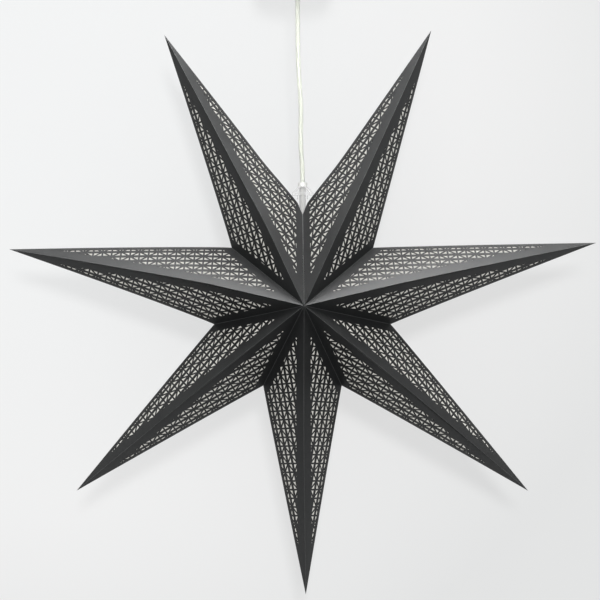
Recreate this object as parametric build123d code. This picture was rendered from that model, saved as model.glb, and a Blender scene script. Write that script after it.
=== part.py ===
from build123d import *
import math
import os

os.makedirs("parts", exist_ok=True)

# Star: seven folded points between a front peak and a back peak
point_count = 7
tip_radius = 300.0
valley_radius = 92.5
half_depth = 86.0
card_wall = 0.4
liner_wall = 0.1
peak_trim = 3.0
seam_gap = 0.3
open_ridge_trim = 0.8
open_valley_trim = 0.4

# Cut-outs: a square lattice laid along the side line, each square halved by a diagonal.
# Rails run along the side line, posts across it.
lattice_pitch = 9.1
rail_width = 3.7
post_width = 1.7
brace_width = 1.7
first_rail = 9.2
side_margin = 4.8
ridge_margin = 12.2
valley_margin = 9.3
smallest_cut = 1.3

# Liner and glue flaps behind the card
liner_margin = 8.2
flap_width = 7.6
flap_peak_gap = 26.0
flap_tip_gap = 3.0

# Slot at the top of the seam, measured from the notch along the side line and the seam
slot_along_side = 8.6
slot_along_seam = 7.6

# Where the star hangs below the ceiling
star_drop = 375.0
star_side = 5.0

# Flex
cord_radius = 2.3
cord_clearance = 0.3
cord_route = [
    (0.0, -24.0),
    (0.0, -97.0),
    (0.8, -137.0),
    (3.8, -173.0),
    (2.8, -211.0),
    (5.0, -236.0),
    (5.0, -250.9),
]
corner_share = 0.45

# Stop that grips the flex, with its grub screw
stop_radius = 4.6
stop_height = 4.4
stop_screw_radius = 1.0
stop_screw_length = 2.0
thread_clearance = 0.05

# Hanger: a tent over the seam with two short lugs under its eave, a tube that goes down
# through the slot, and a foot inside the star
tent_top_half = 4.9
tent_eave_half = 11.0
tent_height = 8.6
tent_depth = 8.0
tent_wall = 1.6
eave_height = 2.2
tube_wall = 0.7
lug_side = 4.6
lug_width = 1.0
lug_height = 4.0
lug_depth = 3.0
foot_top_drop = 16.5
foot_height = 2.5
foot_radius = 6.4
foot_arm_width = 4.0
seat_gap = 0.3

# Lampholder
holder_top = 50.0
holder_cap_height = 14.0
holder_cap_neck = 6.0
holder_radius = 14.0
holder_length = 30.0
holder_wall = 1.6
insert_radius = 11.5
insert_height = 5.0
screw_shell_radius = 7.6
screw_shell_wall = 0.4
screw_shell_length = 17.0
ring_radius = 19.0
ring_height = 6.0
ring_drop = 4.0
ring_clearance = 0.1

# Bulb
bulb_radius = 22.5
bulb_neck_radius = 8.6
bulb_glass_wall = 0.8
bulb_bottom = 50.0
bulb_cap_radius = 7.0
bulb_cap_length = 16.0
bulb_cap_wall = 0.5
bulb_tip_radius = 2.6
bulb_tip_height = 1.6
bulb_seat_gap = 0.3

# Ceiling plate
plate_radius = 35.0
plate_wall = 3.0
plate_screw_radius = 2.25
plate_screw_spacing = 50.0
supply_hole_radius = 6.0
supply_hole_back = 12.0

# Terminal block on the plate
block_length = 24.0
block_width = 12.0
block_height = 13.0
block_front = 21.0
block_bore_radius = 1.6
block_bore_spacing = 10.0

# Anchor that holds the flex, and its two clamp screws
anchor_length = 22.0
anchor_width = 12.0
anchor_height = 9.0
anchor_drop = 22.0
anchor_post_width = 5.0
anchor_screw_radius = 1.4
anchor_screw_head_radius = 2.6
anchor_screw_head = 1.6
anchor_screw_spacing = 15.0

# Cover cup and its bush
cup_radius = 40.0
cup_height = 45.0
cup_wall = 2.0
cup_round = 8.0
cup_ceiling_gap = 0.5
bush_radius = 6.0
bush_flange_radius = 8.5
bush_flange = 1.5
bush_below = 4.0
bush_clearance = 0.1

star_centre = Vector(star_side, 0, -star_drop)
front_peak = star_centre + Vector(0, -half_depth, 0)
back_peak = star_centre + Vector(0, half_depth, 0)
overrun = card_wall
seam_index = point_count // 2


# Star points on the circle of tips and in the circle of notches
def tip(index):
    turn = math.tau * index / point_count
    return star_centre + Vector(math.sin(turn), 0, -math.cos(turn)) * tip_radius


def notch(index):
    turn = math.tau * (index + 1 / 2) / point_count
    return star_centre + Vector(math.sin(turn), 0, -math.cos(turn)) * valley_radius


def fold_angle(line_start, line_end, first, second):
    along = (line_end - line_start).normalized()
    to_first = first - line_start
    to_second = second - line_start
    to_first = to_first - along * to_first.dot(along)
    to_second = to_second - along * to_second.dot(along)
    return math.radians(to_first.get_angle(to_second))


# Flat shapes are lists of corners, cut by lines that keep one side
def line_inside(start, end, inner, inset):
    along_x = end[0] - start[0]
    along_y = end[1] - start[1]
    length = math.hypot(along_x, along_y)
    normal = (-along_y / length, along_x / length)
    if (inner[0] - start[0]) * normal[0] + (inner[1] - start[1]) * normal[1] < 0:
        normal = (-normal[0], -normal[1])
    place = (start[0] + normal[0] * inset, start[1] + normal[1] * inset)
    return place, normal


def height_over(point, line):
    place, normal = line
    return (point[0] - place[0]) * normal[0] + (point[1] - place[1]) * normal[1]


def cut_by(corners, line):
    kept = []
    for index, corner in enumerate(corners):
        following = corners[(index + 1) % len(corners)]
        here = height_over(corner, line)
        there = height_over(following, line)
        if here >= 0:
            kept.append(corner)
        if (here < 0) != (there < 0):
            part = here / (here - there)
            across = corner[0] + (following[0] - corner[0]) * part
            up = corner[1] + (following[1] - corner[1]) * part
            kept.append((across, up))
    return kept


def cut_by_all(corners, lines):
    for line in lines:
        corners = cut_by(corners, line)
    return corners


def area_of(corners):
    total = 0
    for index, corner in enumerate(corners):
        following = corners[(index + 1) % len(corners)]
        total += corner[0] * following[1] - following[0] * corner[1]
    return abs(total) / 2


def wire_of(corners):
    return Wire.make_polygon([Vector(x, y, 0) for x, y in corners])


# Every panel is the triangle of a notch, a tip and a peak, laid flat: the notch at zero,
# the tip along X and the peak above them
side_length = (tip(0) - notch(0)).length
seam_length = (front_peak - notch(0)).length
ridge_length = (front_peak - tip(0)).length
peak_x = (seam_length**2 - ridge_length**2 + side_length**2) / (2 * side_length)
peak_y = math.sqrt(seam_length**2 - peak_x**2)
flat_notch = (0, 0)
flat_tip = (side_length, 0)
flat_peak = (peak_x, peak_y)
flat_middle = ((side_length + peak_x) / 3, peak_y / 3)
flat_corners = [flat_notch, flat_tip, flat_peak]

ridge_angle = fold_angle(front_peak, tip(0), notch(0), notch(-1))
side_angle = fold_angle(notch(0), tip(0), front_peak, back_peak)
ridge_inset = card_wall / math.tan(ridge_angle / 2)
side_inset = card_wall / math.tan(side_angle / 2)


def ridge_line(inset):
    return line_inside(flat_peak, flat_tip, flat_middle, inset)


def side_line(inset):
    return line_inside(flat_notch, flat_tip, flat_middle, inset)


def valley_line(inset):
    return line_inside(flat_notch, flat_peak, flat_middle, inset)


def peak_line(inset):
    away = (flat_middle[0] - flat_peak[0], flat_middle[1] - flat_peak[1])
    length = math.hypot(*away)
    normal = (away[0] / length, away[1] / length)
    return (flat_peak[0] + normal[0] * inset, flat_peak[1] + normal[1] * inset), normal


def slot_line():
    share = slot_along_seam / seam_length
    return line_inside((slot_along_side, 0), (peak_x * share, peak_y * share), flat_tip, 0)


def lattice_cuts(lines):
    cuts = []
    rows = math.ceil((peak_y - first_rail) / lattice_pitch)
    first_column = math.floor(peak_x / lattice_pitch)
    last_column = math.ceil(side_length / lattice_pitch)
    half_rail = rail_width / 2
    half_post = post_width / 2
    for row in range(-1, rows):
        for column in range(first_column, last_column):
            left = column * lattice_pitch
            low = first_rail + row * lattice_pitch
            right = left + lattice_pitch
            high = low + lattice_pitch
            square = [
                (left + half_post, low + half_rail),
                (right - half_post, low + half_rail),
                (right - half_post, high - half_rail),
                (left + half_post, high - half_rail),
            ]
            if (row + column) % 2 == 0:
                ends = [(left, low), (right, high)]
                corners = [(left, high), (right, low)]
            else:
                ends = [(left, high), (right, low)]
                corners = [(left, low), (right, high)]
            for corner in corners:
                half = cut_by(square, line_inside(*ends, corner, brace_width / 2))
                half = cut_by_all(half, lines)
                if len(half) > 2 and area_of(half) > smallest_cut**2:
                    cuts.append(half)
    return cuts


def sheet(corners, cuts, start, thickness, inward):
    face = Face(wire_of(corners), [wire_of(cut) for cut in cuts])
    solid = extrude(face, amount=thickness, dir=(0, 0, inward))
    return Pos(0, 0, inward * start) * solid


made_panels = {}


# A panel lies flat with its outer face at zero height: its card, liner and glue flap
def flat_panel(at_back, at_seam, has_flap, inward):
    key = (at_back, at_seam, has_flap, inward)
    if key in made_panels:
        return made_panels[key]
    ridge_trim = open_ridge_trim if at_back else 0
    valley_trim = open_valley_trim if at_back else 0
    valley_trim = seam_gap / 2 if at_seam else valley_trim
    edges = [
        ridge_line(ridge_inset + ridge_trim),
        side_line(side_inset),
        valley_line(valley_trim),
        peak_line(peak_trim),
    ]
    if at_seam:
        edges.append(slot_line())
    card_corners = cut_by_all(flat_corners, edges)
    margins = [ridge_line(ridge_margin), side_line(side_margin), valley_line(valley_margin)]
    card = sheet(card_corners, lattice_cuts(margins), 0, card_wall, inward)
    liner_lines = [
        ridge_line(liner_margin),
        side_line(side_margin / 2),
        valley_line(liner_margin),
    ]
    liner_corners = cut_by_all(flat_corners, liner_lines)
    liner = sheet(liner_corners, [], card_wall, liner_wall, inward)
    solids = [card, liner]
    if has_flap:
        flap_lines = [
            valley_line(valley_trim + seam_gap),
            side_line(side_inset + flap_tip_gap),
            peak_line(flap_peak_gap),
        ]
        outer_edge = line_inside(flat_notch, flat_peak, flat_middle, flap_width)
        reverse_edge = (outer_edge[0], (-outer_edge[1][0], -outer_edge[1][1]))
        flap_corners = cut_by_all(flat_corners, flap_lines + [reverse_edge])
        solids.append(sheet(flap_corners, [], card_wall, card_wall, inward))
    made_panels[key] = solids
    return solids


def placed_panel(peak, tip_index, notch_index, has_flap):
    corner = notch(notch_index)
    along = (tip(tip_index) - corner).normalized()
    upward = peak - corner
    upward = (upward - along * upward.dot(along)).normalized()
    normal = along.cross(upward)
    inward = 1 if normal.dot(star_centre - corner) > 0 else -1
    at_back = peak.Y > star_centre.Y
    at_seam = notch_index % point_count == seam_index
    plane = Plane(origin=corner, x_dir=along, z_dir=normal)
    solids = flat_panel(at_back, at_seam, has_flap, inward)
    return [plane.location * solid for solid in solids]


def save(name, *solids):
    shape = solids[0] if len(solids) == 1 else Compound(children=list(solids))
    export_step(shape, f"parts/{name}.step")


def round_bar(x, y, low, high, radius):
    return Pos(x, y, (low + high) / 2) * Cylinder(radius, high - low)


def block(x_low, x_high, y_low, y_high, z_low, z_high):
    middle = ((x_low + x_high) / 2, (y_low + y_high) / 2, (z_low + z_high) / 2)
    return Pos(*middle) * Box(x_high - x_low, y_high - y_low, z_high - z_low)


# Panels of the star. The bottom point has a right and a left half, the others a lower and
# an upper half
point_names = ["bottom", "lower_right", "right", "upper_right"]
left_names = ["bottom", "lower_left", "left", "upper_left"]
for side_sign, names in ((1, point_names), (-1, left_names)):
    for step, point_name in enumerate(names):
        tip_index = step * side_sign
        lower_notch = tip_index - 1 if side_sign > 0 else tip_index
        upper_notch = tip_index if side_sign > 0 else tip_index - 1
        halves = [("lower", lower_notch), ("upper", upper_notch)]
        if step == 0:
            halves = [("right" if side_sign > 0 else "left", upper_notch)]
        for half_name, notch_index in halves:
            has_flap = half_name == "lower"
            front = placed_panel(front_peak, tip_index, notch_index, has_flap)
            back = placed_panel(back_peak, tip_index, notch_index, has_flap)
            save(f"{point_name}_point_front_{half_name}", *front)
            save(f"{point_name}_point_back_{half_name}", *back)


# Flex: a hanging stretch to the stop, and a straight one inside the star
def turn_radii(points):
    radii = []
    for before, corner, after in zip(points, points[1:], points[2:]):
        first = corner - before
        second = after - corner
        half_turn = math.radians(first.get_angle(second)) / 2
        radii.append(corner_share * min(first.length, second.length) / math.tan(half_turn))
    return radii


route = [Vector(x, 0, z) for x, z in cord_route]
radii = turn_radii(route)
print("cord radii", [round(radius) for radius in radii])
cord_path = FilletPolyline(*route, radius=radii)
cord_start = Plane(origin=route[0], z_dir=route[1] - route[0])
pendant_cord = sweep(cord_start * Circle(cord_radius), path=cord_path)
cord_volume_ratio = pendant_cord.volume / (math.pi * cord_radius**2 * cord_path.length)
print("cord volume over section times length", round(cord_volume_ratio, 5))
save("pendant_cord", pendant_cord)

axis_x = star_centre.X
stop_top = route[-1].Z
notch_top = star_centre.Z + valley_radius
stop_low = stop_top - stop_height
holder_high = star_centre.Z + holder_top
cord_hole = cord_radius + cord_clearance
lamp_cord_low = holder_high - holder_cap_height / 2
save("lamp_cord", round_bar(axis_x, 0, lamp_cord_low, stop_top, cord_radius))

# Stop on the flex and its grub screw
stop = round_bar(axis_x, 0, stop_low, stop_top, stop_radius)
stop -= round_bar(axis_x, 0, stop_low - overrun, stop_top + overrun, cord_radius)
screw_place = Pos(axis_x, 0, (stop_low + stop_top) / 2) * Rot(90, 0, 0)
bottom_align = (Align.CENTER, Align.CENTER, Align.MIN)
screw_hole = Cylinder(stop_screw_radius + thread_clearance, stop_radius, align=bottom_align)
stop -= screw_place * screw_hole
save("cord_stop", stop)
stop_screw = Cylinder(stop_screw_radius, stop_screw_length, align=bottom_align)
save("stop_screw", screw_place * Pos(0, 0, cord_radius + thread_clearance) * stop_screw)

# Hanger: its foot lies under the roof that the two seam edges make
tent_top = stop_low
eave_low = tent_top - tent_height
foot_top = notch_top - foot_top_drop
foot_low = foot_top - foot_height


def tent_slab(half_top, half_eave, high, low, upright):
    corners = [
        (axis_x - half_top, high),
        (axis_x + half_top, high),
        (axis_x + half_eave, low + upright),
        (axis_x + half_eave, low),
        (axis_x - half_eave, low),
        (axis_x - half_eave, low + upright),
    ]
    outline = Polyline(*[(x, 0, z) for x, z in corners], close=True)
    face = Face(Wire(outline.edges()))
    return extrude(face, amount=tent_depth / 2, dir=(0, 1, 0), both=True)


hanger = tent_slab(tent_top_half, tent_eave_half, tent_top, eave_low, eave_height)
window_half = tent_top_half - tent_wall
window_eave_half = tent_eave_half - 2 * tent_wall
window = Polyline(
    (axis_x - window_half, 0, tent_top - tent_wall),
    (axis_x + window_half, 0, tent_top - tent_wall),
    (axis_x + window_eave_half, 0, eave_low + eave_height),
    (axis_x - window_eave_half, 0, eave_low + eave_height),
    close=True,
)
hanger -= extrude(Face(Wire(window.edges())), amount=tent_depth, dir=(0, 1, 0), both=True)
half_lug = lug_depth / 2
for lug_sign in (1, -1):
    near = axis_x + lug_sign * lug_side
    far = near + lug_sign * lug_width
    lug_low = eave_low - lug_height
    hanger += block(min(near, far), max(near, far), -half_lug, half_lug, lug_low, eave_low)
hanger += round_bar(axis_x, 0, foot_low, tent_top, cord_hole + tube_wall)
hanger += round_bar(axis_x, 0, foot_low, foot_top, foot_radius)
to_tip = tip(seam_index) - front_peak
to_notch = notch(seam_index) - front_peak
seam_normal = to_tip.cross(to_notch).normalized()
seam_y = half_depth * foot_top_drop / valley_radius
foot_reach = seam_y - (card_wall + seat_gap) / abs(seam_normal.Y)
arm_half = foot_arm_width / 2
hanger += block(axis_x - arm_half, axis_x + arm_half, -foot_reach, foot_reach, foot_low, foot_top)
hanger -= round_bar(axis_x, 0, foot_low - overrun, tent_top + overrun, cord_hole)
save("seam_hanger", hanger)

# Lampholder: cap, body, insert, screw shell and shade ring
cap_low = holder_high - holder_cap_height
body_low = cap_low - holder_length
holder_cap = Cone(holder_radius, holder_cap_neck, holder_cap_height, align=bottom_align)
holder_cap = Pos(axis_x, 0, cap_low) * holder_cap
inner_cap_height = holder_cap_height / 2
inner_cap = Cone(
    holder_radius - holder_wall,
    (holder_radius + holder_cap_neck) / 2 - holder_wall,
    inner_cap_height,
    align=bottom_align,
)
holder_cap -= Pos(axis_x, 0, cap_low) * inner_cap
holder_cap -= round_bar(axis_x, 0, cap_low, holder_high + overrun, cord_radius)
save("lampholder_cap", holder_cap)

holder_body = round_bar(axis_x, 0, body_low, cap_low, holder_radius)
holder_body -= round_bar(axis_x, 0, body_low - overrun, cap_low + overrun, holder_radius - holder_wall)
save("lampholder_body", holder_body)

insert_high = cap_low
insert_low = insert_high - insert_height
insert = round_bar(axis_x, 0, insert_low, insert_high, holder_radius - holder_wall)
insert += round_bar(axis_x, 0, insert_high, insert_high + insert_height / 2, insert_radius / 2)
save("lampholder_insert", insert)

shell_low = insert_low - screw_shell_length
shell = round_bar(axis_x, 0, shell_low, insert_low, screw_shell_radius)
shell_bore = screw_shell_radius - screw_shell_wall
shell -= round_bar(axis_x, 0, shell_low - overrun, insert_low - screw_shell_wall, shell_bore)
save("lampholder_screw_shell", shell)

collar = round_bar(axis_x, 0, body_low, body_low + holder_wall, holder_radius - holder_wall)
collar_bore = bulb_neck_radius + seat_gap
collar -= round_bar(axis_x, 0, body_low - overrun, body_low + holder_wall + overrun, collar_bore)
save("lampholder_mouth", collar)

ring_low = body_low + ring_drop
ring_high = ring_low + ring_height
ring_bore = holder_radius + ring_clearance
ring = round_bar(axis_x, 0, ring_low, ring_high, ring_bore + holder_wall)
ring += round_bar(axis_x, 0, ring_high - holder_wall, ring_high, ring_radius)
ring -= round_bar(axis_x, 0, ring_low - overrun, ring_high + overrun, ring_bore)
save("shade_ring", ring)

# Bulb: a hollow glass globe, its screw cap and the contact at the cap's end
globe_middle = star_centre.Z - bulb_bottom + bulb_radius
cap_high = insert_low - screw_shell_wall - bulb_seat_gap - bulb_tip_height
bulb_cap_low = cap_high - bulb_cap_length


def bulb_solid(inset):
    globe = Pos(axis_x, 0, globe_middle) * Sphere(bulb_radius - inset)
    neck = round_bar(axis_x, 0, globe_middle, bulb_cap_low - inset, bulb_neck_radius - inset)
    return globe + neck


save("bulb_globe", bulb_solid(0) - bulb_solid(bulb_glass_wall))

bulb_cap = round_bar(axis_x, 0, bulb_cap_low, cap_high, bulb_cap_radius)
cap_bore = bulb_cap_radius - bulb_cap_wall
bulb_cap -= round_bar(axis_x, 0, bulb_cap_low - overrun, cap_high - bulb_cap_wall, cap_bore)
save("bulb_cap", bulb_cap)
save("bulb_contact", round_bar(axis_x, 0, cap_high, cap_high + bulb_tip_height, bulb_tip_radius))

# Ceiling plate with two screw holes and a hole for the supply cable
plate = round_bar(0, 0, -plate_wall, 0, plate_radius)
for screw_sign in (1, -1):
    screw_x = screw_sign * plate_screw_spacing / 2
    plate -= round_bar(screw_x, 0, -plate_wall - overrun, overrun, plate_screw_radius)
plate -= round_bar(0, supply_hole_back, -plate_wall - overrun, overrun, supply_hole_radius)
save("ceiling_plate", plate)

# Terminal block, with a through bore for each core
block_low = -plate_wall - block_height
block_back = -block_front + block_width
terminal = block(-block_length / 2, block_length / 2, -block_front, block_back, block_low, -plate_wall)
for bore_sign in (1, -1):
    bore = Cylinder(block_bore_radius, block_width + overrun)
    bore_x = bore_sign * block_bore_spacing / 2
    middle_y = -block_front + block_width / 2
    terminal -= Pos(bore_x, middle_y, block_low + block_height / 2) * Rot(90, 0, 0) * bore
save("terminal_block", terminal)

# Anchor: a bracket from the plate that carries the flex, with two clamp screws below it
anchor_high = -anchor_drop
anchor_low = anchor_high - anchor_height
half_length = anchor_length / 2
half_width = anchor_width / 2
anchor = block(-half_length, half_length, -half_width, half_width, anchor_low, anchor_high)
for post_sign in (1, -1):
    post_near = post_sign * half_length
    post_far = post_near - post_sign * anchor_post_width
    post_x = (min(post_near, post_far), max(post_near, post_far))
    anchor += block(*post_x, -half_width, half_width, anchor_high, -plate_wall)
anchor -= round_bar(0, 0, anchor_low - overrun, anchor_high + overrun, cord_radius)
anchor_screws = []
for screw_sign in (1, -1):
    screw_x = screw_sign * anchor_screw_spacing / 2
    screw_high = anchor_low + anchor_height / 2
    hole_radius = anchor_screw_radius + thread_clearance
    anchor -= round_bar(screw_x, 0, anchor_low - overrun, screw_high, hole_radius)
    head_low = anchor_low - anchor_screw_head
    shank_high = screw_high - thread_clearance
    screw = round_bar(screw_x, 0, head_low, anchor_low, anchor_screw_head_radius)
    screw += round_bar(screw_x, 0, anchor_low, shank_high, anchor_screw_radius)
    anchor_screws.append(screw)
save("cord_anchor", anchor)
save("anchor_screws", *anchor_screws)

# Cover cup and the bush in its floor
cup_high = -cup_ceiling_gap
cup_low = cup_high - cup_height


def cup_solid(radius, low, high, corner):
    solid = round_bar(0, 0, low, high, radius)
    return fillet(solid.edges().group_by(Axis.Z)[0], corner)


cup = cup_solid(cup_radius, cup_low, cup_high, cup_round)
inner_high = cup_high + overrun
cup -= cup_solid(cup_radius - cup_wall, cup_low + cup_wall, inner_high, cup_round - cup_wall)
cup -= round_bar(0, 0, cup_low - overrun, cup_low + cup_wall + overrun, bush_radius + bush_clearance)
save("ceiling_cup", cup)

bush_high = cup_low + cup_wall + bush_flange
bush = round_bar(0, 0, cup_low - bush_below, bush_high, bush_radius)
bush += round_bar(0, 0, cup_low + cup_wall, bush_high, bush_flange_radius)
bush -= round_bar(0, 0, cup_low - bush_below - overrun, bush_high + overrun, cord_hole)
save("cup_bush", bush)
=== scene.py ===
import math

import bmesh
import bpy
from mathutils import Matrix, Vector


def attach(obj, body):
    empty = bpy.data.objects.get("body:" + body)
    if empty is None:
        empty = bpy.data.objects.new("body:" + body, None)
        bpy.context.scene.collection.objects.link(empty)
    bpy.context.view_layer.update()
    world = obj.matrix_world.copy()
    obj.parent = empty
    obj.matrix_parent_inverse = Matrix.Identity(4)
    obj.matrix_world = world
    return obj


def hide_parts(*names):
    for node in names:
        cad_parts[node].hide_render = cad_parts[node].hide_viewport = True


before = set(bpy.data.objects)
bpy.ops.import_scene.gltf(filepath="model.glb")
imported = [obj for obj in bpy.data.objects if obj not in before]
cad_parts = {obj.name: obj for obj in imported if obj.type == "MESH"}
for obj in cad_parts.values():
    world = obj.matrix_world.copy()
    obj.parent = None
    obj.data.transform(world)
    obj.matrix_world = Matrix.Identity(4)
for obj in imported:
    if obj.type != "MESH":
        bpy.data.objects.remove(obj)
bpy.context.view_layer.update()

print("frame loaded,", len(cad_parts), "nodes")

mm = 0.001
collection = bpy.context.scene.collection

# Camera: in front of the star, a little to the left of it and a little above
camera = {
    "aim": (2.44 * mm, 0, -370.8 * mm),
    "distance": 1.9,
    "frameWidth": 613.3 * mm,
    "sensor": 36,
    "leftTurn": 1.0,
    "rise": 0.9,
}


def makeCamera():
    data = bpy.data.cameras.new("frontCamera")
    data.sensor_width = camera["sensor"]
    data.lens = camera["sensor"] * camera["distance"] / camera["frameWidth"]
    turn, rise = math.radians(-camera["leftTurn"]), math.radians(camera["rise"])
    level = math.cos(rise)
    back = Vector((math.sin(turn) * level, -math.cos(turn) * level, math.sin(rise)))
    looker = bpy.data.objects.new("frontCamera", data)
    looker.location = Vector(camera["aim"]) + back * camera["distance"]
    looker.rotation_euler = (-back).to_track_quat("-Z", "Y").to_euler()
    collection.objects.link(looker)
    bpy.context.scene.camera = looker


makeCamera()

# Materials: a helper that adds and joins the nodes of one finish


class Finish:
    def __init__(self, name):
        self.material = bpy.data.materials.new(name)
        self.material.use_nodes = True
        self.nodes = self.material.node_tree.nodes
        self.links = self.material.node_tree.links
        self.shader = self.nodes["Principled BSDF"]
        self.output = self.nodes["Material Output"]

    def add(self, kind, **settings):
        node = self.nodes.new("ShaderNode" + kind)
        for key, value in settings.items():
            setattr(node, key, value)
        return node

    def join(self, source, target):
        self.links.new(source, target)

    def set(self, **values):
        for key, value in values.items():
            self.shader.inputs[key.replace("_", " ")].default_value = value

    def noise(self, vector, scale, detail=4, roughness=0.55):
        node = self.add("TexNoise")
        node.inputs["Scale"].default_value = scale
        node.inputs["Detail"].default_value = detail
        node.inputs["Roughness"].default_value = roughness
        self.join(vector, node.inputs["Vector"])
        return node.outputs["Fac"]

    def stretch(self, vector, scale, turn=0):
        node = self.add("Mapping")
        node.inputs["Scale"].default_value = scale
        node.inputs["Rotation"].default_value = (0, 0, turn)
        self.join(vector, node.inputs["Vector"])
        return node.outputs["Vector"]

    def ramp(self, value, stops):
        node = self.add("ValToRGB")
        elements = node.color_ramp.elements
        while len(elements) < len(stops):
            elements.new(0.5)
        for element, (place, colour) in zip(elements, stops):
            element.position = place
            element.color = (*colour, 1)
        self.join(value, node.inputs["Fac"])
        return node.outputs["Color"]

    def toned(self, value, tones, dark, light):
        return self.ramp(value, [(tones[0], dark), (tones[1], light)])

    def scaled(self, value, low, high):
        node = self.add("MapRange")
        node.inputs["To Min"].default_value = low
        node.inputs["To Max"].default_value = high
        self.join(value, node.inputs["Value"])
        return node.outputs["Result"]

    def maths(self, operation, first, second=None):
        node = self.add("Math", operation=operation)
        for index, value in enumerate((first, second)):
            if value is None:
                continue
            if isinstance(value, (int, float)):
                node.inputs[index].default_value = value
            else:
                self.join(value, node.inputs[index])
        return node.outputs["Value"]

    def mix(self, factor, first, second):
        node = self.add("Mix", data_type="RGBA")
        self.join(factor, node.inputs["Factor"])
        for name, value in (("A", first), ("B", second)):
            socket = next(s for s in node.inputs if s.name == name and s.type == "RGBA")
            if isinstance(value, tuple):
                socket.default_value = (*value, 1)
            else:
                self.join(value, socket)
        return next(s for s in node.outputs if s.type == "RGBA")

    def roughen(self, value, roughness, spread):
        low, high = (roughness * share for share in spread)
        self.join(self.scaled(value, low, high), self.shader.inputs["Roughness"])

    def bump(self, height, strength, distance):
        node = self.add("Bump")
        node.inputs["Strength"].default_value = strength
        node.inputs["Distance"].default_value = distance
        self.join(height, node.inputs["Height"])
        self.join(node.outputs["Normal"], self.shader.inputs["Normal"])

    def objectPlace(self):
        return self.add("TexCoord").outputs["Object"]

    def uvPlace(self, name):
        return self.add("UVMap", uv_map=name).outputs["UV"]


card = {
    "dark": (0.0065, 0.0071, 0.0075),
    "light": (0.0155, 0.0163, 0.0166),
    "tones": (0.36, 0.66),
    # the lighter line along the creases: partly wear of the folded paper, partly a painted highlight
    # of the rounded fold
    "creaseWearAndHighlight": (0.100, 0.103, 0.103),
    "seamLineColour": (0.27, 0.275, 0.275),
    "creaseLineWidth": 0.45 * mm,
    "creaseLineShare": 0.8,
    "fibre": 1500,
    "fibreStretch": (0.35, 1, 1),
    "fibreShare": 0.6,
    "cloud": 45,
    "cloudShare": 0.4,
    "roughness": (0.46, 0.56),
    "gloss": 0.25,
    "bump": 0.10,
    "bumpDepth": 0.08 * mm,
}


def cardFinish():
    finish = Finish("blackCard")
    sheet = finish.uvPlace("sheet")
    fibre = finish.noise(finish.stretch(sheet, card["fibreStretch"]), card["fibre"], 5)
    cloud = finish.noise(sheet, card["cloud"], 3)
    both = finish.maths(
        "ADD", finish.maths("MULTIPLY", fibre, card["fibreShare"]),
        finish.maths("MULTIPLY", cloud, card["cloudShare"]),
    )
    colour = finish.toned(both, card["tones"], card["dark"], card["light"])
    # painted highlight: the creases get a lighter line, partly wear of the folded paper and partly a
    # painted highlight of the rounded fold; along the seam the line is wider and lighter towards its
    # notch end
    gap = finish.add("Attribute", attribute_name="creaseGap")
    parts = finish.add("SeparateXYZ")
    finish.join(gap.outputs["Vector"], parts.inputs["Vector"])
    nearest = finish.maths("MINIMUM", parts.outputs["X"], parts.outputs["Y"])
    nearest = finish.maths("MINIMUM", nearest, parts.outputs["Z"])
    ragged = finish.maths("MULTIPLY", fibre, card["creaseLineWidth"] * 2)
    creaseWearAndHighlight = finish.add("MapRange")
    creaseWearAndHighlight.inputs["From Min"].default_value = 0
    creaseWearAndHighlight.inputs["To Min"].default_value = card["creaseLineShare"]
    creaseWearAndHighlight.inputs["To Max"].default_value = 0
    finish.join(nearest, creaseWearAndHighlight.inputs["Value"])
    finish.join(ragged, creaseWearAndHighlight.inputs["From Max"])
    seam = finish.add("Attribute", attribute_name="seamShare")
    creaseLineColour = finish.mix(seam.outputs["Fac"], card["creaseWearAndHighlight"], card["seamLineColour"])
    colour = finish.mix(creaseWearAndHighlight.outputs["Result"], colour, creaseLineColour)
    finish.join(colour, finish.shader.inputs["Base Color"])
    finish.join(finish.scaled(cloud, *card["roughness"]), finish.shader.inputs["Roughness"])
    finish.set(Specular_IOR_Level=card["gloss"])
    finish.bump(fibre, card["bump"], card["bumpDepth"])
    return finish.material


liner = {
    "dark": (0.86, 0.84, 0.79),
    "light": (0.96, 0.95, 0.90),
    "tones": (0.3, 0.7),
    "fibre": 900,
    "fibreStretch": (0.3, 1, 1),
    "fibreTurn": 0.4,
    "roughness": 0.9,
    "gloss": 0.2,
    "glow": 0.18,
}


def linerFinish():
    finish = Finish("linerPaper")
    sheet = finish.uvPlace("sheet")
    stretched = finish.stretch(sheet, liner["fibreStretch"], liner["fibreTurn"])
    fibre = finish.noise(stretched, liner["fibre"], 5)
    colour = finish.toned(fibre, liner["tones"], liner["dark"], liner["light"])
    finish.join(colour, finish.shader.inputs["Base Color"])
    finish.set(Roughness=liner["roughness"], Specular_IOR_Level=liner["gloss"])
    glow = finish.add("BsdfTranslucent")
    finish.join(colour, glow.inputs["Color"])
    blend = finish.add("MixShader")
    blend.inputs["Fac"].default_value = liner["glow"]
    finish.join(finish.shader.outputs["BSDF"], blend.inputs[1])
    finish.join(glow.outputs["BSDF"], blend.inputs[2])
    finish.join(blend.outputs["Shader"], finish.output.inputs["Surface"])
    return finish.material


moulded = {
    "broadGrain": 1 / 20,
    "shade": 0.93,
    "tones": (0.35, 0.65),
    "spread": (0.85, 1.15),
    "bumpDepth": 0.05 * mm,
}


def mouldedFinish(name, colour, roughness, grain=900, bump=0.06):
    finish = Finish(name)
    place = finish.objectPlace()
    fine = finish.noise(place, grain, 3)
    broad = finish.noise(place, grain * moulded["broadGrain"], 2)
    darker = tuple(part * moulded["shade"] for part in colour)
    toned = finish.toned(broad, moulded["tones"], darker, colour)
    finish.join(toned, finish.shader.inputs["Base Color"])
    finish.roughen(fine, roughness, moulded["spread"])
    finish.bump(fine, bump, moulded["bumpDepth"])
    return finish


metal = {
    "grain": (300, 300, 2500),
    "shade": 0.8,
    "tones": (0.3, 0.7),
    "spread": (0.7, 1.3),
    "bump": 0.05,
    "bumpDepth": 0.05 * mm,
}


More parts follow.
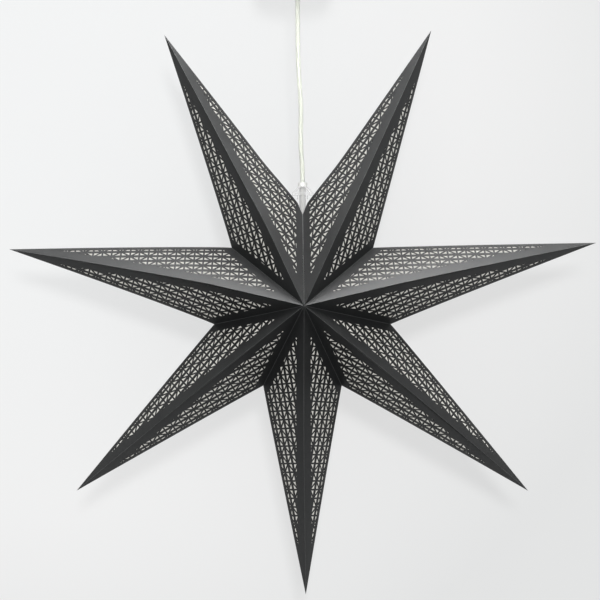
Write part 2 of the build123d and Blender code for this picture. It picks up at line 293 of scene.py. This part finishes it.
def metalFinish(name, colour, roughness):
    finish = Finish(name)
    brushed = finish.noise(finish.stretch(finish.objectPlace(), metal["grain"]), 1, 4)
    darker = tuple(part * metal["shade"] for part in colour)
    toned = finish.toned(brushed, metal["tones"], darker, colour)
    finish.join(toned, finish.shader.inputs["Base Color"])
    finish.roughen(brushed, roughness, metal["spread"])
    finish.set(Metallic=1)
    finish.bump(brushed, metal["bump"], metal["bumpDepth"])
    return finish


clear = {
    "swirl": 260,
    "spread": (0.7, 1.4),
    "refraction": 1.46,
    "bump": 0.05,
    "bumpDepth": 0.1 * mm,
}


def clearFinish(name, colour, roughness, density):
    finish = Finish(name)
    swirl = finish.noise(finish.objectPlace(), clear["swirl"], 3)
    finish.roughen(swirl, roughness, clear["spread"])
    finish.set(Base_Color=(*colour, 1), IOR=clear["refraction"], Transmission_Weight=density)
    finish.bump(swirl, clear["bump"], clear["bumpDepth"])
    return finish


milky = {
    "grain": 400,
    "bump": 0.04,
    "edge": 0.35,
}


def milkyFinish(name, colour, roughness, cover):
    # clear where it is looked through squarely, denser at its edges
    finish = mouldedFinish(name, colour, roughness, milky["grain"], milky["bump"])
    edge = finish.add("LayerWeight")
    edge.inputs["Blend"].default_value = milky["edge"]
    finish.join(finish.scaled(edge.outputs["Facing"], *cover), finish.shader.inputs["Alpha"])
    return finish


# Finished meshes get their normals, material, body and replaced nodes here
def place(bm, name, body, material, slot=None, nodes=(), sharp=35):
    mesh = bpy.data.meshes.new(name)
    bm.to_mesh(mesh)
    bm.free()
    mesh.materials.append(material)
    mesh.shade_smooth()
    mesh.set_sharp_from_angle(angle=math.radians(sharp))
    piece = bpy.data.objects.new(name, mesh)
    collection.objects.link(piece)
    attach(piece, body)
    if nodes:
        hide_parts(*nodes)
    return piece


# Pendant flex: clear jacket over two twisted cores
flex = {
    "route": [
        (0, -24), (0, -97), (0.8, -137), (3.8, -173), (2.8, -211), (5, -236), (5, -250.9),
    ],
    "diameter": 4.6 * mm,
    "coreRadius": 0.85 * mm,
    "coreFit": 0.98,
    "twist": 42 * mm,
    "steps": 24,
    "roundSteps": 6,
    "lampLength": 80.5 * mm,
    "lampSteps": 24,
}


def routeCurve(name, points, radius):
    data = bpy.data.curves.new(name, "CURVE")
    data.dimensions = "3D"
    spline = data.splines.new("NURBS")
    spline.points.add(len(points) - 1)
    for point, spot in zip(spline.points, points):
        point.co = (*spot, 1)
    spline.order_u = 3
    spline.use_endpoint_u = True
    spline.resolution_u = flex["steps"]
    data.resolution_u = flex["steps"]
    data.bevel_depth = radius
    data.bevel_resolution = flex["roundSteps"]
    data.use_fill_caps = True
    piece = bpy.data.objects.new(name, data)
    collection.objects.link(piece)
    return piece


def linePoints(curve):
    bare = curve.copy()
    bare.data = curve.data.copy()
    bare.data.bevel_depth = 0
    collection.objects.link(bare)
    bpy.context.view_layer.update()
    seen = bare.evaluated_get(bpy.context.evaluated_depsgraph_get())
    mesh = bpy.data.meshes.new_from_object(seen)
    points = [vertex.co.copy() for vertex in mesh.vertices]
    bpy.data.meshes.remove(mesh)
    bpy.data.objects.remove(bare)
    return points


def twistedCore(name, line, start, radius):
    travelled, spots = 0, []
    for index, spot in enumerate(line):
        if index:
            travelled += (spot - line[index - 1]).length
        ahead = line[min(index + 1, len(line) - 1)] - line[max(index - 1, 0)]
        sideways = ahead.cross(Vector((0, 1, 0))).normalized()
        forward = sideways.cross(ahead).normalized()
        angle = start + math.tau * travelled / flex["twist"]
        spots.append(spot + (sideways * math.cos(angle) + forward * math.sin(angle)) * radius)
    return routeCurve(name, spots, radius * flex["coreFit"])


def makeFlex(jacket, core):
    route = [Vector((x, 0, z)) * mm for x, z in flex["route"]]
    cord = routeCurve("pendant_flex", route, flex["diameter"] / 2)
    cord.data.materials.append(jacket)
    line = linePoints(cord)
    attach(cord, "ceiling_fitting")
    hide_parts("pendant_cord")
    for index, start in enumerate((0, math.pi)):
        strand = twistedCore(f"pendant_core_{index + 1}", line, start, flex["coreRadius"])
        strand.data.materials.append(core)
        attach(strand, "ceiling_fitting")


def makeLampCores(core):
    # the flex goes on down to the lampholder, straight
    x, z = flex["route"][-1]
    top = Vector((x, 0, z)) * mm
    steps = flex["lampSteps"]
    line = [top - Vector((0, 0, flex["lampLength"] * step / steps)) for step in range(steps + 1)]
    for index, start in enumerate((0, math.pi)):
        strand = twistedCore(f"strand_{index + 1}", line, start, flex["coreRadius"])
        bpy.context.view_layer.update()
        seen = strand.evaluated_get(bpy.context.evaluated_depsgraph_get())
        bm = bmesh.new()
        mesh = bpy.data.meshes.new_from_object(seen)
        bm.from_mesh(mesh)
        bpy.data.meshes.remove(mesh)
        bpy.data.objects.remove(strand)
        place(bm, f"lamp_core_{index + 1}", "hanging_lamp", core)


jacketFinish = clearFinish("flexJacket", (0.93, 0.95, 0.91), 0.4, 0.7)
coreFinish = mouldedFinish("flexCore", (0.80, 0.81, 0.73), 0.6)
makeFlex(jacketFinish.material, coreFinish.material)
makeLampCores(coreFinish.material)
print("flex made")

# Star: fourteen front panels and fourteen back ones, all cut to one shape
star = {
    "points": 7,
    "tipRadius": 300 * mm,
    "valleyRadius": 92.5 * mm,
    "halfDepth": 86 * mm,
    "centre": Vector((5, 0, -375)) * mm,
    "cardWall": 0.4 * mm,
    "linerWall": 0.1 * mm,
    "pitch": 9.1 * mm,
    "bar": 1.7 * mm,
    "rail": 3.7 * mm,
    "firstRail": 9.2 * mm,
    "sideMargin": 4.8 * mm,
    "ridgeMargin": 12.2 * mm,
    "valleyMargin": 9.3 * mm,
    "smallestCut": 1.3 * mm,
    "cutRound": 0.35 * mm,
    "peakTrim": 1.1 * mm,
    "backTrim": 0.3 * mm,
    "slotSide": 8.6 * mm,
    "slotSeam": 7.6 * mm,
    "linerMargin": 8.2 * mm,
    "flapWidth": 7.6 * mm,
    "flapPeakGap": 26 * mm,
    "flapTipGap": 3 * mm,
    "flapValleyGap": 0.7 * mm,
    "seamTrim": 0.15 * mm,
    "spare": 2 * mm,
    "trimTouch": 1e-7,
    "cutTouch": 1e-6,
    "sharpAngle": 30,
    "bow": 0.9 * mm,
    "seamLineWidening": 2.4,
    "seamFade": 1.5,
}
stray = {
    "start": 0.30,
    "curve": 1.25,
    "tips": {
        0: (3.4 * mm, 2.2 * mm),
        1: (-3.0 * mm, -4.6 * mm),
        2: (8.6 * mm, -4.0 * mm),
        3: (1.4 * mm, 9.4 * mm),
        -3: (-10.8 * mm, 4.2 * mm),
        -2: (-6.6 * mm, -10.8 * mm),
        -1: (3.6 * mm, -3.6 * mm),
    },
    "notchRise": 4.2 * mm,
    "notchReach": 70 * mm,
}
centre = star["centre"]
seamIndex = star["points"] // 2
frontPeak = centre - Vector((0, star["halfDepth"], 0))
backPeak = centre + Vector((0, star["halfDepth"], 0))


def spoke(turns):
    angle = math.tau * turns / star["points"]
    return Vector((math.sin(angle), 0, -math.cos(angle)))


def tipAt(index):
    return centre + spoke(index) * star["tipRadius"]


def notchAt(index):
    return centre + spoke(index + 0.5) * star["valleyRadius"]


def settle(spot):
    # how far the hand-folded star strays from the even one, fading to nothing at its middle
    away = spot - centre
    nearest = max(stray["tips"], key=lambda index: away.dot(spoke(index)))
    x, z = stray["tips"][nearest]
    share = away.dot(spoke(nearest)) / star["tipRadius"]
    grown = min(max((share - stray["start"]) / (1 - stray["start"]), 0), 1)
    shift = Vector((x, 0, z)) * grown ** stray["curve"]
    top = notchAt(seamIndex)
    near = Vector((spot.x - top.x, 0, spot.z - top.z)).length / stray["notchReach"]
    if near < 1:
        shift += Vector((0, 0, stray["notchRise"] * (1 - near * near) ** 2))
    return shift


def panelFrame(peak, tipIndex, notchIndex):
    # notch at zero, tip along X, outer face up; a left-handed frame for every second panel
    corner = notchAt(notchIndex)
    along = (tipAt(tipIndex) - corner).normalized()
    upward = peak - corner
    upward = (upward - along * upward.dot(along)).normalized()
    outward = along.cross(upward)
    if outward.dot(corner - centre) < 0:
        outward = -outward
    rows = Matrix((along, upward, outward)).transposed().to_4x4()
    return Matrix.Translation(corner) @ rows


model = panelFrame(frontPeak, 0, 0)
flat = model.inverted()
sideLength = (tipAt(0) - notchAt(0)).length
flatPeak = flat @ frontPeak
flatTip = flat @ tipAt(0)
flatMiddle = (flatPeak + flatTip) / 3


def edgeLine(start, end, inset=0):
    # a line of the flat panel as a place and a direction that points into the panel
    along = (end - start).normalized()
    inward = Vector((-along.y, along.x, 0))
    if inward.dot(flatMiddle - start) < 0:
        inward = -inward
    return start + inward * inset, inward


def ridgeLine(inset=0):
    return edgeLine(flatPeak, flatTip, inset)


def sideLine(inset=0):
    return edgeLine(Vector(), flatTip, inset)


def valleyLine(inset=0):
    return edgeLine(Vector(), flatPeak, inset)


def peakLine(inset):
    inward = (flatMiddle - flatPeak).normalized()
    return flatPeak + inward * inset, inward


def slotLine():
    start = Vector((star["slotSide"], 0, 0))
    end = flatPeak.normalized() * star["slotSeam"]
    along = (end - start).normalized()
    inward = Vector((-along.y, along.x, 0))
    return start, inward if inward.x > 0 else -inward


def foldPlanes():
    # the planes in which two panels meet: through the ridge, the valley and the side line
    planes = []
    ridgeAcross = spoke(0).cross(Vector((0, 1, 0)))
    valleyAcross = spoke(0.5).cross(Vector((0, 1, 0)))
    middle = (frontPeak + tipAt(0) + notchAt(0)) / 3
    for across in (ridgeAcross, valleyAcross, Vector((0, 1, 0))):
        if across.dot(middle - centre) < 0:
            across = -across
        planes.append((flat @ centre, (flat.to_3x3() @ across).normalized()))
    return planes


def distance(point, line):
    return (point - line[0]).dot(line[1])


def keepInside(bm, line, closed=False):
    cut = bmesh.ops.bisect_plane(
        bm, geom=bm.verts[:] + bm.edges[:] + bm.faces[:], dist=star["trimTouch"],
        plane_co=line[0], plane_no=-line[1], clear_outer=True,
    )
    if closed:
        edges = [part for part in cut["geom_cut"] if isinstance(part, bmesh.types.BMEdge)]
        bmesh.ops.holes_fill(bm, edges=[edge for edge in edges if edge.is_boundary], sides=0)


def lattice():
    # blocks of two by two squares, each cut into eight triangles round its middle
    block = 2 * star["pitch"]
    left = math.floor(flatPeak.x / block) - 1
    right = math.ceil(sideLength / block) + 1
    rows = math.ceil(flatPeak.y / block) + 2
    columns = right - left
    bm = bmesh.new()
    size = Matrix.Diagonal((columns * block / 2, rows * block / 2, 1, 1))
    middle = ((left + right) / 2 * block, star["firstRail"] + (rows / 2 - 1) * block, 0)
    bmesh.ops.create_grid(
        bm, x_segments=columns, y_segments=rows, size=1, matrix=Matrix.Translation(middle) @ size,
    )
    bmesh.ops.subdivide_edges(bm, edges=bm.edges[:], cuts=1)
    bmesh.ops.poke(bm, faces=bm.faces[:])
    return bm


def railGap(place):
    # signed distance across the panel from the nearest rail
    rows = (place.y - star["firstRail"]) / star["pitch"]
    return (rows - round(rows)) * star["pitch"]


def widenRails(bm, half):
    # the rails are wider than the other bars, so the squares end a step short of them
    step = star["rail"] / 2 - half
    for row in range(-1, math.ceil(flatPeak.y / star["pitch"]) + 1):
        rail = star["firstRail"] + row * star["pitch"]
        for side in (-1, 1):
            near = []
            for face in bm.faces:
                away = (face.calc_center_median().y - rail) * side
                if step < away < star["pitch"] / 2:
                    near.append(face)
            edges = list({edge for face in near for edge in face.edges})
            vertices = list({vertex for face in near for vertex in face.verts})
            bmesh.ops.bisect_plane(
                bm, geom=vertices + edges + near, dist=star["cutTouch"],
                plane_co=(0, rail + side * step, 0), plane_no=(0, side, 0),
            )
    return step


def cutField(bm):
    half = star["bar"] / 2
    step = widenRails(bm, half)
    margins = [
        ridgeLine(star["ridgeMargin"] - half),
        sideLine(star["sideMargin"] - half),
        valleyLine(star["valleyMargin"] - half),
    ]
    for line in margins:
        bmesh.ops.bisect_plane(
            bm, geom=bm.verts[:] + bm.edges[:] + bm.faces[:], dist=star["cutTouch"],
            plane_co=line[0], plane_no=line[1],
        )
    field = []
    for face in bm.faces:
        middle = face.calc_center_median()
        if min(distance(middle, line) for line in margins) < 0 or abs(railGap(middle)) < step:
            continue
        if 2 * face.calc_area() / face.calc_perimeter() > half:
            field.append(face)
    bmesh.ops.inset_individual(bm, faces=field, thickness=half, use_even_offset=True)
    field = [face for face in field if face.calc_area() > star["smallestCut"] ** 2]
    corners = list({vertex for face in field for vertex in face.verts})
    bmesh.ops.delete(bm, geom=field, context="FACES_ONLY")
    bmesh.ops.bevel(
        bm, geom=corners, offset=star["cutRound"], offset_type="OFFSET", segments=2,
        profile=0.5, affect="VERTICES", material=-1, clamp_overlap=True,
    )


def markSheet(bm, atSeam=False):
    uv = bm.loops.layers.uv.new("sheet")
    gap = bm.verts.layers.float_vector.new("creaseGap")
    seam = bm.verts.layers.float.new("seamShare")
    lines = [ridgeLine(), sideLine(), valleyLine()]
    for vertex in bm.verts:
        vertex[gap] = Vector([distance(vertex.co, line) for line in lines])
        if atSeam:
            # the seam's lighter line is made wider here and lighter towards the notch end
            vertex[gap].z /= star["seamLineWidening"]
            along = (flatPeak - vertex.co).dot(flatPeak.normalized()) / flatPeak.length
            vertex[seam] = min(max(along, 0), 1) ** star["seamFade"]
        for loop in vertex.link_loops:
            loop[uv].uv = (vertex.co.x, vertex.co.y)


def bowOut(bm):
    # a soft swell of the whole panel that leaves its three creases straight
    lines = [ridgeLine(), sideLine(), valleyLine()]
    tall = [distance(flatMiddle, line) for line in lines]
    for vertex in bm.verts:
        share = 1
        for line, height in zip(lines, tall):
            share *= max(distance(vertex.co, line), 0) / height
        vertex.co.z += star["bow"] * share


def thicken(bm, low, high):
    bmesh.ops.translate(bm, verts=bm.verts[:], vec=(0, 0, high))
    faces = bm.faces[:]
    grown = bmesh.ops.extrude_face_region(bm, geom=faces)["geom"]
    lower = [part for part in grown if isinstance(part, bmesh.types.BMVert)]
    bmesh.ops.translate(bm, verts=lower, vec=(0, 0, low - high))
    bmesh.ops.reverse_faces(bm, faces=[face for face in faces if face.is_valid])
    bmesh.ops.recalc_face_normals(bm, faces=bm.faces[:])


def flatCard(atBack, atSeam):
    bm = lattice()
    spare = star["spare"]
    for line in (ridgeLine(-spare), sideLine(-spare), valleyLine(-spare)):
        keepInside(bm, line)
    cutField(bm)
    bmesh.ops.recalc_face_normals(bm, faces=bm.faces[:])
    thicken(bm, -star["cardWall"], 0)
    ridgeTrim = star["backTrim"] if atBack else 0
    valleyTrim = star["seamTrim"] if atSeam else ridgeTrim
    for (start, inward), trim in zip(foldPlanes(), (ridgeTrim, valleyTrim, 0)):
        keepInside(bm, (start + inward * trim, inward), closed=True)
    keepInside(bm, peakLine(star["peakTrim"]), closed=True)
    if atSeam:
        keepInside(bm, slotLine(), closed=True)
    markSheet(bm, atSeam)
    bowOut(bm)
    return bm


def flatSheet(lines, low, high):
    bm = lattice()
    for line in lines:
        keepInside(bm, line)
    thicken(bm, low, high)
    markSheet(bm)
    bowOut(bm)
    return bm


def flatLiner():
    margin = star["linerMargin"]
    lines = [ridgeLine(margin), sideLine(star["sideMargin"] / 2), valleyLine(margin)]
    return flatSheet(lines, -star["cardWall"] - star["linerWall"], -star["cardWall"])


def flatFlap(atBack):
    start, inward = valleyLine(star["flapWidth"])
    lines = [
        valleyLine(star["flapValleyGap"]),
        sideLine(star["cardWall"] + star["flapTipGap"]),
        peakLine(star["flapPeakGap"]),
        (start, -inward),
    ]
    return flatSheet(lines, -2 * star["cardWall"], -star["cardWall"])


made = {}


def panelMesh(kind, build):
    # each flat shape is made once and copied to its panels
    if kind not in made:
        mesh = bpy.data.meshes.new("_".join(str(word) for word in kind))
        bm = build()
        bm.to_mesh(mesh)
        bm.free()
        made[kind] = mesh
    bm = bmesh.new()
    bm.from_mesh(made[kind])
    return bm


def standUp(bm, matrix):
    bmesh.ops.transform(bm, matrix=matrix, verts=bm.verts[:])
    for vertex in bm.verts:
        vertex.co += settle(vertex.co)
    if matrix.determinant() < 0:
        bmesh.ops.reverse_faces(bm, faces=bm.faces[:])


def makePanel(node, peak, tipIndex, notchIndex, hasFlap, finishes):
    matrix = panelFrame(peak, tipIndex, notchIndex)
    atBack = peak.y > centre.y
    atSeam = notchIndex % star["points"] == seamIndex
    parts = [
        ("card", (atBack, atSeam), lambda: flatCard(atBack, atSeam), "black_card"),
        ("liner", (), flatLiner, None),
    ]
    if hasFlap:
        parts.append(("flap", (atBack,), lambda: flatFlap(atBack), "black_card"))
    for part, kind, build, slot in parts:
        bm = panelMesh((part, *kind), build)
        standUp(bm, matrix)
        place(bm, f"{node}_{part}", node, finishes[part], slot, [node], star["sharpAngle"])


def makeStar(finishes):
    names = {
        1: ["bottom", "lower_right", "right", "upper_right"],
        -1: ["bottom", "lower_left", "left", "upper_left"],
    }
    for sign, pointNames in names.items():
        for step, pointName in enumerate(pointNames):
            tipIndex = step * sign
            lower, upper = (tipIndex - 1, tipIndex) if sign > 0 else (tipIndex, tipIndex - 1)
            halves = [("lower", lower), ("upper", upper)]
            if step == 0:
                halves = [("right" if sign > 0 else "left", upper)]
            for half, notchIndex in halves:
                for peak, face in ((frontPeak, "front"), (backPeak, "back")):
                    node = f"{pointName}_point_{face}_{half}"
                    makePanel(node, peak, tipIndex, notchIndex, half == "lower", finishes)


cardMaterial = cardFinish()
linerMaterial = linerFinish()
makeStar({"card": cardMaterial, "flap": cardMaterial, "liner": linerMaterial})
print("star made")

# The fittings keep their CAD shape and get finishes of their own
whitePlastic = mouldedFinish("whitePlastic", (0.86, 0.86, 0.84), 0.32).material
fittingFinishes = {
    "ceiling_plate": whitePlastic,
    "ceiling_cup": whitePlastic,
    "terminal_block": mouldedFinish("naturalNylon", (0.80, 0.79, 0.74), 0.45).material,
    "cord_anchor": whitePlastic,
    "cup_bush": mouldedFinish("bushPlastic", (0.84, 0.84, 0.80), 0.4).material,
    "anchor_screws": metalFinish("zincScrew", (0.70, 0.71, 0.72), 0.35).material,
    "cord_stop": mouldedFinish("stopPlastic", (1.0, 1.0, 0.98), 0.3).material,
    "stop_screw": metalFinish("stopScrew", (0.70, 0.71, 0.72), 0.35).material,
    "seam_hanger": milkyFinish("clearHanger", (1.0, 1.0, 1.0), 0.12, (0.35, 0.85)).material,
    "lamp_cord": milkyFinish("lampFlex", (1.0, 1.0, 0.98), 0.25, (0.3, 0.7)).material,
    "lampholder_cap": mouldedFinish("holderPlastic", (0.84, 0.84, 0.82), 0.35).material,
    "lampholder_insert": mouldedFinish("ceramicInsert", (0.87, 0.86, 0.82), 0.18).material,
    "lampholder_screw_shell": metalFinish("brassShell", (0.78, 0.62, 0.30), 0.3).material,
    "bulb_globe": mouldedFinish("opalGlass", (0.93, 0.93, 0.91), 0.15, 200, 0.02).material,
    "bulb_cap": metalFinish("nickelCap", (0.75, 0.75, 0.74), 0.3).material,
    "bulb_contact": metalFinish("contactMetal", (0.72, 0.70, 0.66), 0.35).material,
}
for name in ("lampholder_body", "lampholder_mouth", "shade_ring"):
    fittingFinishes[name] = fittingFinishes["lampholder_cap"]
for name, material in fittingFinishes.items():
    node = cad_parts[name]
    node.data.materials.clear()
    node.data.materials.append(material)
print("fittings finished")

# Pale wall close behind the star, seen only from its front, with painted light on it, and a pale room
stage = {
    "wallPlace": 92 * mm,
    "wallHalf": 3.0,
    "wall": (0.86, 0.87, 0.87),
    "mottle": 3,
    "mottleShade": 0.985,
    "mottleTones": (0.35, 0.65),
    "roughness": 0.9,
    "seenFlat": 0.72,
    # painted light on the wall: a lean, a corner shade and three levels, brightest at the upper left
    "paintedLightLean": (-0.9, 0, 0.75),
    "paintedLightStart": 0.86,
    "corners": -1.6,
    "paintedDim": (0.745, 0.75, 0.75),
    "middle": (0.885, 0.885, 0.885),
    "paintedMiddleReach": 0.45,
    "paintedBright": (0.92, 0.935, 0.94),
    "room": (0.90, 0.90, 0.90),
    "roomLight": 0.62,
}


def makeWall():
    middle = (0, stage["wallPlace"], centre.z)
    upright = Matrix.Translation(middle) @ Matrix.Rotation(math.radians(90), 4, "X")
    bm = bmesh.new()
    bmesh.ops.create_grid(bm, x_segments=1, y_segments=1, size=stage["wallHalf"])
    bmesh.ops.transform(bm, matrix=upright, verts=bm.verts[:])
    mesh = bpy.data.meshes.new("wall")
    bm.to_mesh(mesh)
    bm.free()
    finish = Finish("wallPaintAndPaintedLight")
    mottle = finish.noise(finish.objectPlace(), stage["mottle"], 3)
    darker = tuple(part * stage["mottleShade"] for part in stage["wall"])
    paint = finish.toned(mottle, stage["mottleTones"], darker, stage["wall"])
    finish.join(paint, finish.shader.inputs["Base Color"])
    finish.set(Roughness=stage["roughness"], Specular_IOR_Level=0)
    # painted light: the part seen flat is painted brightest at its upper left and falls off into
    # painted shade towards the corners
    flat = finish.add("Emission")
    lean = finish.add("VectorMath", operation="DOT_PRODUCT")
    lean.inputs[1].default_value = stage["paintedLightLean"]
    finish.join(finish.objectPlace(), lean.inputs[0])
    away = finish.add("VectorMath", operation="DISTANCE")
    away.inputs[1].default_value = middle
    finish.join(finish.objectPlace(), away.inputs[0])
    squared = finish.maths("MULTIPLY", away.outputs["Value"], away.outputs["Value"])
    rounded = finish.maths("MULTIPLY", squared, stage["corners"])
    sideways = finish.maths("ADD", lean.outputs["Value"], stage["paintedLightStart"])
    reach = finish.maths("ADD", sideways, rounded)
    stops = [(0, stage["paintedDim"]), (stage["paintedMiddleReach"], stage["middle"]), (1, stage["paintedBright"])]
    finish.join(finish.ramp(reach, stops), flat.inputs["Color"])
    atCamera = finish.add("LightPath").outputs["Is Camera Ray"]
    seen = finish.maths("MULTIPLY", atCamera, stage["seenFlat"])
    hidden = finish.add("BsdfTransparent")
    evened, choose = finish.add("MixShader"), finish.add("MixShader")
    finish.join(seen, evened.inputs["Fac"])
    finish.join(finish.shader.outputs["BSDF"], evened.inputs[1])
    finish.join(flat.outputs["Emission"], evened.inputs[2])
    finish.join(finish.add("NewGeometry").outputs["Backfacing"], choose.inputs["Fac"])
    finish.join(evened.outputs["Shader"], choose.inputs[1])
    finish.join(hidden.outputs["BSDF"], choose.inputs[2])
    finish.join(choose.outputs["Shader"], finish.output.inputs["Surface"])
    mesh.materials.append(finish.material)
    wall = bpy.data.objects.new("wall", mesh)
    collection.objects.link(wall)


def makeWorld():
    world = bpy.data.worlds.new("room")
    bpy.context.scene.world = world
    world.use_nodes = True
    nodes, links = world.node_tree.nodes, world.node_tree.links
    light = nodes["Background"]
    light.inputs["Color"].default_value = (1, 1, 1, 1)
    light.inputs["Strength"].default_value = stage["roomLight"]
    seen = nodes.new("ShaderNodeBackground")
    seen.inputs["Color"].default_value = (*stage["room"], 1)
    seen.inputs["Strength"].default_value = 1
    path = nodes.new("ShaderNodeLightPath")
    either = nodes.new("ShaderNodeMath")
    either.operation = "MAXIMUM"
    links.new(path.outputs["Is Camera Ray"], either.inputs[0])
    links.new(path.outputs["Is Transmission Ray"], either.inputs[1])
    choose = nodes.new("ShaderNodeMixShader")
    links.new(either.outputs["Value"], choose.inputs["Fac"])
    links.new(light.outputs["Background"], choose.inputs[1])
    links.new(seen.outputs["Background"], choose.inputs[2])
    links.new(choose.outputs["Shader"], nodes["World Output"].inputs["Surface"])


lamps = [
    {"name": "frontSoft", "place": (0.15, -3.2, 0.6), "size": 0.5, "power": 50, "diffuse": True},
    {"name": "overhead", "place": (0.05, -0.25, 1.0), "size": 0.7, "power": 5, "diffuse": False},
    {"name": "topSheen", "place": (0.05, -0.25, 0.35), "size": 0.6, "power": 40, "diffuse": False},
    {"name": "leftSheen", "place": (-0.42, -0.3, 0.26), "size": 0.35, "power": 0.5, "diffuse": False},
]


def makeLamps():
    for lamp in lamps:
        data = bpy.data.lights.new(lamp["name"], "AREA")
        data.size = lamp["size"]
        data.energy = lamp["power"]
        light = bpy.data.objects.new(lamp["name"], data)
        light.location = lamp["place"]
        towards = centre - Vector(lamp["place"])
        light.rotation_euler = towards.to_track_quat("-Z", "Y").to_euler()
        light.visible_diffuse = lamp["diffuse"]
        collection.objects.link(light)


makeWall()
makeWorld()
makeLamps()
print("stage made")

bpy.context.scene.view_settings.view_transform = "Standard"
